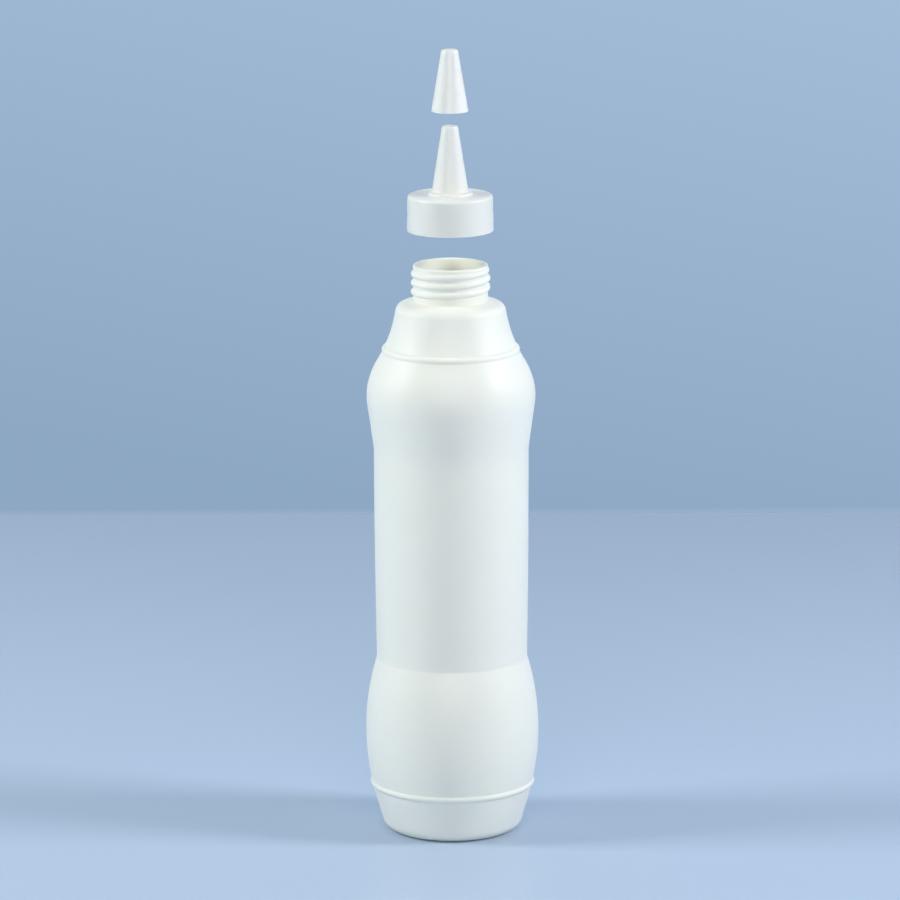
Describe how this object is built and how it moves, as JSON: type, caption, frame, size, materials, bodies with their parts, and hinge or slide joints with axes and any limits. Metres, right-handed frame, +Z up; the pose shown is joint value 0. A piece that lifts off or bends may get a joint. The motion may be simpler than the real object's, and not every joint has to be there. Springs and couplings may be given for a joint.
{
  "type": "plastic sauce bottle",
  "caption": "Squeezable white plastic sauce bottle with a waisted body, raised rings and a threaded neck, shown open with its screw-on nozzle cap and its tip cover held above.",
  "frame": {"origin": "on the bottle's axis, in the plane that it stands on", "axes": "+Z up along the axis of the bottle, the nozzle cap and the tip cover; +X to the right where the neck's thread fades out at its upper end"},
  "size_m": [0.082, 0.082, 0.3748],
  "materials": {
    "bottle": "blow-moulded white polyethylene, satin, slightly translucent",
    "nozzle_cap": "injection-moulded white polypropylene, satin",
    "tip_cover": "injection-moulded white polyethylene, satin"
  },
  "bodies": {
    "root": {"bottle": "bottle", "nozzle_cap": "nozzle_cap", "tip_cover": "tip_cover"}
  },
  "joints": []
}
